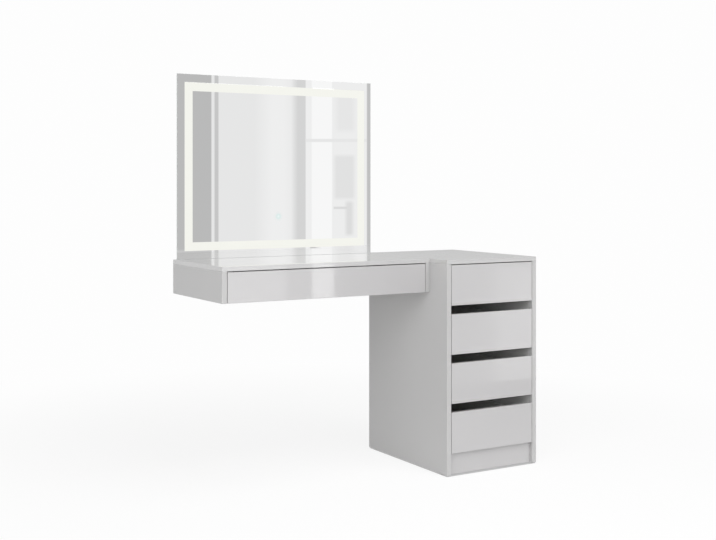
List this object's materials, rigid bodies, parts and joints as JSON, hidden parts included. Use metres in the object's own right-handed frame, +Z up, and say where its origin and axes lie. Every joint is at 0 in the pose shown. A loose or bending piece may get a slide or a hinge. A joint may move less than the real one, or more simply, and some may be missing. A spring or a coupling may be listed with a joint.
{
  "type": "dressing table with mirror",
  "caption": "Dressing table: floor-standing drawer cabinet with finger slots, a cantilevered desk with one wide drawer, and a frameless mirror with an etched light band.",
  "frame": {"origin": "on the floor, under the middle of the whole piece's box", "axes": "+X to the right along the fronts, from the desk towards the cabinet; +Y back towards the wall; +Z up"},
  "size_m": [1.21, 0.5, 1.3983],
  "materials": {
    "satin_white": "satin",
    "gloss_white": "gloss",
    "hardboard": "matte",
    "zinc_steel": "satin",
    "frame_aluminium": "satin",
    "mirror_silver": "polished",
    "light_band": "matte",
    "touch_glow": "matte",
    "white_plastic": "matte",
    "dark_plastic": "matte"
  },
  "bodies": {
    "carcass": {"cabinet_left_side": "satin_white", "cabinet_right_side": "satin_white", "cabinet_top": "gloss_white", "cabinet_bottom": "satin_white", "cabinet_back": "satin_white", "cabinet_plinth": "gloss_white", "glide_front_left": "white_plastic", "glide_front_right": "white_plastic", "glide_rear_left": "white_plastic", "glide_rear_right": "white_plastic", "desk_top": "gloss_white", "desk_left_side": "satin_white", "desk_right_side": "satin_white", "desk_wall_rail": "satin_white", "desk_bolt_front": "zinc_steel", "desk_bolt_rear": "zinc_steel", "mirror_glass": "mirror_silver", "mirror_light_band": "light_band", "mirror_touch_button": "touch_glow", "mirror_frame": "frame_aluminium", "mirror_led_strip": "white_plastic", "mirror_led_driver": "white_plastic", "mirror_back_cover": "white_plastic", "mirror_hanging_rail": "zinc_steel", "mirror_cable_gland": "dark_plastic", "desk_drawer_left_channel": "zinc_steel", "desk_drawer_right_channel": "zinc_steel", "drawer_1_left_channel": "zinc_steel", "drawer_1_right_channel": "zinc_steel", "drawer_2_left_channel": "zinc_steel", "drawer_2_right_channel": "zinc_steel", "drawer_3_left_channel": "zinc_steel", "drawer_3_right_channel": "zinc_steel", "drawer_4_left_channel": "zinc_steel", "drawer_4_right_channel": "zinc_steel"},
    "desk_drawer": {"desk_drawer_front": "gloss_white", "desk_drawer_box": "satin_white", "desk_drawer_bottom": "hardboard", "desk_drawer_left_runner": "zinc_steel", "desk_drawer_right_runner": "zinc_steel"},
    "drawer_1": {"drawer_1_front": "gloss_white", "drawer_1_box": "satin_white", "drawer_1_bottom": "hardboard", "drawer_1_left_runner": "zinc_steel", "drawer_1_right_runner": "zinc_steel"},
    "drawer_2": {"drawer_2_front": "gloss_white", "drawer_2_box": "satin_white", "drawer_2_bottom": "hardboard", "drawer_2_left_runner": "zinc_steel", "drawer_2_right_runner": "zinc_steel"},
    "drawer_3": {"drawer_3_front": "gloss_white", "drawer_3_box": "satin_white", "drawer_3_bottom": "hardboard", "drawer_3_left_runner": "zinc_steel", "drawer_3_right_runner": "zinc_steel"},
    "drawer_4": {"drawer_4_front": "gloss_white", "drawer_4_box": "satin_white", "drawer_4_bottom": "hardboard", "drawer_4_left_runner": "zinc_steel", "drawer_4_right_runner": "zinc_steel"}
  },
  "joints": [
    {"name": "desk_drawer_slide", "type": "slide", "parent": "carcass", "child": "desk_drawer", "axis": [0, -1, 0], "range_m": [0, 0.25]},
    {"name": "drawer_1_slide", "type": "slide", "parent": "carcass", "child": "drawer_1", "axis": [0, -1, 0], "range_m": [0, 0.33]},
    {"name": "drawer_2_slide", "type": "slide", "parent": "carcass", "child": "drawer_2", "axis": [0, -1, 0], "range_m": [0, 0.33]},
    {"name": "drawer_3_slide", "type": "slide", "parent": "carcass", "child": "drawer_3", "axis": [0, -1, 0], "range_m": [0, 0.33]},
    {"name": "drawer_4_slide", "type": "slide", "parent": "carcass", "child": "drawer_4", "axis": [0, -1, 0], "range_m": [0, 0.33]}
  ]
}
